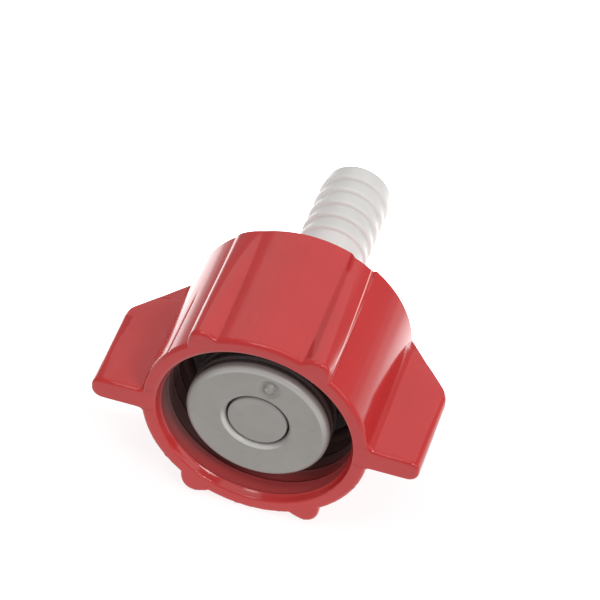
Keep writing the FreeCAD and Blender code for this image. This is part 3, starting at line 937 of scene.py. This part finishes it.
def painted_light_line_group():
    """Mask of a line along the axis on the nut's outside, at a polar angle and half width in degrees,
    where shade and highlights are painted.
    """
    tree, given, made = new_group("painted_light_line", {"Angle": 60.0, "Half Width": 1.0}, ("Mask",))
    place = given["Coordinates"]
    split = split_up(tree, place)
    turn = math_node(tree, "ARCTAN2", split["Z"], split["X"])
    off = math_node(tree, "SUBTRACT", math_node(tree, "DEGREES", turn), given["Angle"])
    share = math_node(tree, "DIVIDE", math_node(tree, "ABSOLUTE", off), given["Half Width"])
    radius = off_axis(tree, place)[1]
    mask = product(tree, between(tree, share, *LINE_SIDE_FADE),
                   between(tree, split["Y"], *LINE_FRONT_FADE),
                   between(tree, split["Y"], *LINE_BACK_FADE),
                   between(tree, radius, *LINE_R_FADE))
    tree.links.new(mask, made["Mask"])
    return tree


def painted_highlight_ring_group():
    """Mask of a ring of painted highlight about the axis, strongest towards its lit side.

    The ring runs between two radii with soft borders; the lit side is a direction across the axis.
    """
    tree, given, made = new_group(
        "painted_highlight_ring", {"Inner mm": 9.4, "Outer mm": 10.1, "Side": (0.0, 0.0, 1.0)}, ("Mask",))
    flat, radius = off_axis(tree, given["Coordinates"])
    lean = vector_node(tree, "DOT_PRODUCT", flat, given["Side"])["Value"]
    cosine = math_node(tree, "DIVIDE", lean, radius)
    inside = math_node(tree, "MULTIPLY", radius, PER_METRE)
    past_inner = math_node(tree, "SUBTRACT", inside, given["Inner mm"])
    short_of_outer = math_node(tree, "SUBTRACT", given["Outer mm"], inside)
    mask = product(tree, between(tree, past_inner, -RING_SOFTNESS, RING_SOFTNESS),
                   between(tree, short_of_outer, -RING_SOFTNESS, RING_SOFTNESS),
                   between(tree, cosine, *SIDE_FADE))
    tree.links.new(mask, made["Mask"])
    return tree


# painted highlights on the grey disc: a lighter band on its upper shoulder and a lighter crescent on the
# lower lip of the button's hole
SHOULDER_HIGHLIGHT = {"Inner mm": 9.35, "Outer mm": 10.04, "Side": (0.3, 0.0, 0.95)}
LIP_HIGHLIGHT = {"Inner mm": 4.62, "Outer mm": 5.08, "Side": (-0.4, 0.0, -0.92)}
SKIN = moulded_skin_group()
MARKS = handling_marks_group()
PAINTED_BORE_SHADE = painted_bore_shade_group()
PAINTED_LIGHT_LINE = painted_light_line_group()
PAINTED_HIGHLIGHT_RING = painted_highlight_ring_group()


def finish(name, light, dark, roughness, spread, peel_height, marks=0.3, patch=8.0,
           mark_tint=(0.8, 0.75, 0.72), metal=0.0, overlays=()):
    """Material of one moulded finish.

    Base colour runs between light and dark with the patches and streaks and is tinted where
    marked; roughness runs from roughness to roughness + spread; the peel and the scratches
    make the bump, peel_height in millimetres. Each overlay is a mask's group, its values and
    the colour that the mask brings in.
    """
    material = bpy.data.materials.new(name)
    material.use_nodes = True
    tree = material.node_tree
    shader = tree.nodes["Principled BSDF"]
    place = tree.nodes.new("ShaderNodeTexCoord").outputs["Object"]
    skin = group_node(tree, SKIN, place, {"Patch Size mm": patch})
    wear = group_node(tree, MARKS, place, {})
    patches = math_node(tree, "MULTIPLY", skin["Patch"], 1 - STREAK_SHARE)
    tone = math_node(tree, "MULTIPLY_ADD", skin["Streak"], STREAK_SHARE, patches)
    colour = mixed(tree, tone, light, dark)
    marked = math_node(tree, "MULTIPLY", wear["Scratches"], marks)
    colour = mixed(tree, marked, colour, (*mark_tint, 1.0))
    for group, values, tint in overlays:
        colour = mixed(tree, group_node(tree, group, place, values)["Mask"], colour, tint)
    tree.links.new(colour, shader.inputs["Base Color"])
    rough = math_node(tree, "MULTIPLY_ADD", wear["Scuffs"], spread, roughness)
    tree.links.new(rough, shader.inputs["Roughness"])
    bump = tree.nodes.new("ShaderNodeBump")
    bump.inputs["Distance"].default_value = MM
    bump.inputs["Strength"].default_value = 1.0
    height = math_node(tree, "MULTIPLY", skin["Peel"], peel_height)
    cut = math_node(tree, "MULTIPLY", wear["Scratches"], -SCRATCH_DEPTH * marks)
    height = math_node(tree, "ADD", height, cut)
    tree.links.new(height, bump.inputs["Height"])
    tree.links.new(bump.outputs["Normal"], shader.inputs["Normal"])
    shader.inputs["IOR"].default_value = 1.5
    shader.inputs["Metallic"].default_value = metal
    return material


def mixed(tree, share, first, second):
    """Colour mix by a share; each colour is a socket or a plain colour. Returns the output."""
    node = tree.nodes.new("ShaderNodeMix")
    node.data_type = "RGBA"
    tree.links.new(share, node.inputs[0])
    feed(tree, node.inputs[6], first)
    feed(tree, node.inputs[7], second)
    return node.outputs[2]


RED_OVERLAYS = [
    # painted shade: the red darkens a little just inside the mouth and much more deeper in the bore,
    # setting in deeper low down and on the right
    (PAINTED_BORE_SHADE, {"Start mm": 0.9, "Full mm": 1.6, "Lean": 0.0}, (0.5, 0.07, 0.07, 1)),
    (PAINTED_BORE_SHADE, {"Start mm": 1.0, "Full mm": 5.2, "Lean": 1.0}, (0.24, 0.13, 0.125, 1)),
    # painted shade along the crease at the inner foot of the upper right rib
    (PAINTED_LIGHT_LINE, {"Angle": 66.3, "Half Width": 1.7}, (0.42, 0.004, 0.004, 1)),
    # painted highlight along the outer foot of the upper right rib
    (PAINTED_LIGHT_LINE, {"Angle": 53.7, "Half Width": 0.4}, (0.9, 0.42, 0.37, 1)),
]
RED = finish("red_semi_gloss", (0.53, 0.028, 0.028, 1), (0.49, 0.024, 0.024, 1), 0.14, 0.08, 0.0012,
             marks=0.02, overlays=RED_OVERLAYS)
LIGHT_GREY = finish("light_grey_satin", (0.69, 0.68, 0.66, 1), (0.64, 0.63, 0.61, 1), 0.33, 0.1, 0.002,
                    marks=0.15, mark_tint=(0.3, 0.29, 0.28))
MID_GREY = finish("mid_grey_satin", (0.31, 0.295, 0.275, 1), (0.28, 0.265, 0.247, 1), 0.3, 0.12, 0.002,
                  marks=0.25, mark_tint=(0.2, 0.19, 0.18), patch=5.0,
                  # painted highlights on the disc's upper shoulder and on the lip of the button's hole
                  overlays=[(PAINTED_HIGHLIGHT_RING, SHOULDER_HIGHLIGHT, (0.47, 0.46, 0.44, 1)),
                            (PAINTED_HIGHLIGHT_RING, LIP_HIGHLIGHT, (0.56, 0.55, 0.52, 1))])
RUBBER = finish("black_rubber", (0.1, 0.088, 0.087, 1), (0.08, 0.071, 0.07, 1), 0.22, 0.12, 0.003,
                marks=0.1, mark_tint=(0.05, 0.05, 0.05))
WHITE = finish("white_bearing", (0.78, 0.78, 0.76, 1), (0.72, 0.72, 0.70, 1), 0.35, 0.1, 0.002)
STEEL = finish("drawn_wire", (0.62, 0.61, 0.59, 1), (0.5, 0.49, 0.48, 1), 0.25, 0.15, 0.001, metal=1.0)


def dress(piece, material):
    """Give a piece this one material."""
    piece.data.materials.clear()
    piece.data.materials.append(material)


def redress(node, material):
    """Give every material slot of a CAD node's object this material."""
    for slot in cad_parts[node].material_slots:
        slot.material = material


nut = wing_nut()
dress(nut, RED)
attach(nut, "nut")
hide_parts("wing_nut")

tail = hose_tail()
dress(tail, LIGHT_GREY)
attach(tail, "tail")
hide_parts("hose_tail")

cap = face_cap()
dress(cap, MID_GREY)
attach(cap, "tail")
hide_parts("face_cap")

button = poppet()
dress(button, MID_GREY)
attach(button, "valve")
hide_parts("poppet")

boot = seal_boot()
dress(boot, RUBBER)
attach(boot, "tail")
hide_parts("seal_boot")

spring = return_spring()
dress(spring, STEEL)
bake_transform(spring)
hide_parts("return_spring")

for node in ("tail_o_ring", "rim_gasket", "poppet_seal"):
    redress(node, RUBBER)
for node in ("slip_washer", "spring_guide"):
    redress(node, WHITE)
redress("core_body", MID_GREY)


# ---------------------------------------------------------------- floor, light and camera

FLOOR_HALF = 1.5
FLOOR_GAP = 0.0005  # the floor lies this far under the part
SHEET = (-0.02, 0.055, 0.125, 0.09)  # centre x and y, half width and half depth in metres
PATCH = (-0.045, 0.052, 0.095, 0.034)
SHEET_FADE = (1.3, 1.0)  # each oval runs from nothing to full between these, in half widths
PATCH_FADE = (1.25, 0.75)
SHEET_BASE = (0.22, 0.22, 0.22, 1)  # the rest of its brightness is glow
TABLE_GREY = (0.6, 0.6, 0.6, 1)
SHEET_GLOW = 0.84
PATCH_GLOW = 1.5
ROOM_LIGHT = 0.44
LAMP_DISTANCE = 1.0
LAMP_AIM = Vector((0, 0.012, 0))
LAMPS = [
    # name, azimuth, elevation, width, height and brightness
    ("key_lamp", 50, 42, 0.3, 0.3, 10.5),
    ("right_lamp", 84, 26, 0.45, 0.6, 1.6),
    ("left_front_lamp", 335, 66, 0.2, 0.2, 6.0),
    ("top_lamp", 0, 86, 0.8, 0.8, 1.1),
    ("back_lamp", 180, 42, 1.3, 0.7, 0.65),
]
CAMERA_AZIMUTH = math.radians(14.0588)  # from in front of the mouth towards the right
CAMERA_ELEVATION = math.radians(45.3258)
CAMERA_ROLL = math.radians(4.6248)
CAMERA_DISTANCE = 0.515
CAMERA_AIM = Vector((0.318, 18.891, 7.010)) * MM
FOCAL_LENGTH = 224.696
SENSOR_WIDTH = 36.0


def oval(tree, place, shape, gone, full):
    """Mask of an oval on the floor: 1 up to full half widths from its centre, 0 beyond gone."""
    x, y, wide, deep = shape
    off = mapped(tree, place, (1 / wide, 1 / deep, 0), shift=(-x / wide, -y / deep, 0))
    return between(tree, vector_node(tree, "LENGTH", off)["Value"], gone, full)


def pale_floor():
    """Wide plain floor: a glowing white sheet under the part, pale grey table round it.

    The sheet and the brighter patch of light behind the part are ovals that fade outwards.
    """
    level = cad_low[2] - FLOOR_GAP
    corners = [(x * FLOOR_HALF, y * FLOOR_HALF, level) for x, y in ((-1, -1), (1, -1), (1, 1), (-1, 1))]
    mesh = bpy.data.meshes.new("floor")
    mesh.from_pydata(corners, [], [(0, 1, 2, 3)])
    floor = placed("floor", mesh)
    material = bpy.data.materials.new("white_sheet")
    material.use_nodes = True
    tree = material.node_tree
    shader = tree.nodes["Principled BSDF"]
    shader.inputs["Roughness"].default_value = 0.9
    shader.inputs["Specular IOR Level"].default_value = 0.0
    shader.inputs["Emission Color"].default_value = (1, 1, 1, 1)
    place = tree.nodes.new("ShaderNodeTexCoord").outputs["Object"]
    sheet = oval(tree, place, SHEET, *SHEET_FADE)
    patch = oval(tree, place, PATCH, *PATCH_FADE)
    tree.links.new(mixed(tree, sheet, TABLE_GREY, SHEET_BASE), shader.inputs["Base Color"])
    glow = math_node(tree, "MULTIPLY", sheet, SHEET_GLOW)
    bright = math_node(tree, "MULTIPLY", patch, PATCH_GLOW)
    tree.links.new(math_node(tree, "ADD", glow, bright), shader.inputs["Emission Strength"])
    mesh.materials.append(material)


def soft_light(name, azimuth, elevation, width, height, brightness):
    """Rectangular area light that shines on the nut, its sides in metres.

    Azimuth and elevation are in degrees, azimuth 0 in front of the mouth and 90 on the right.
    """
    turn = math.radians(azimuth)
    rise = math.radians(elevation)
    away = Vector((math.sin(turn) * math.cos(rise), -math.cos(turn) * math.cos(rise), math.sin(rise)))
    lamp = bpy.data.lights.new(name, "AREA")
    lamp.shape = "RECTANGLE"
    lamp.size = width
    lamp.size_y = height
    lamp.energy = math.pi * width * height * brightness
    light = placed(name, lamp)
    light.rotation_euler = (-away).to_track_quat("-Z", "Y").to_euler()
    light.location = LAMP_AIM + away * LAMP_DISTANCE


def studio():
    """Soft room light and large soft lamps."""
    world = bpy.data.worlds.new("studio")
    bpy.context.scene.world = world
    world.use_nodes = True
    background = world.node_tree.nodes["Background"]
    background.inputs["Color"].default_value = (1, 1, 1, 1)
    background.inputs["Strength"].default_value = ROOM_LIGHT
    for lamp in LAMPS:
        soft_light(*lamp)


def camera():
    """Long lens looking down at the mouth from the right, rolled a little."""
    flat = math.cos(CAMERA_ELEVATION)
    back = Vector((math.sin(CAMERA_AZIMUTH) * flat, -math.cos(CAMERA_AZIMUTH) * flat,
                   math.sin(CAMERA_ELEVATION)))
    level = Vector((math.cos(CAMERA_AZIMUTH), math.sin(CAMERA_AZIMUTH), 0))
    steep = back.cross(level)
    right = level * math.cos(CAMERA_ROLL) + steep * math.sin(CAMERA_ROLL)
    up = steep * math.cos(CAMERA_ROLL) - level * math.sin(CAMERA_ROLL)
    lens = bpy.data.cameras.new("camera")
    lens.lens = FOCAL_LENGTH
    lens.sensor_width = SENSOR_WIDTH
    lens.clip_start = 0.01
    eye = placed("camera", lens)
    turned = Matrix((right, up, back)).transposed().to_4x4()
    eye.matrix_world = Matrix.Translation(CAMERA_AIM + back * CAMERA_DISTANCE) @ turned
    bpy.context.scene.camera = eye


pale_floor()
studio()
camera()
bpy.context.scene.view_settings.view_transform = "Standard"
bpy.context.scene.view_settings.look = "None"
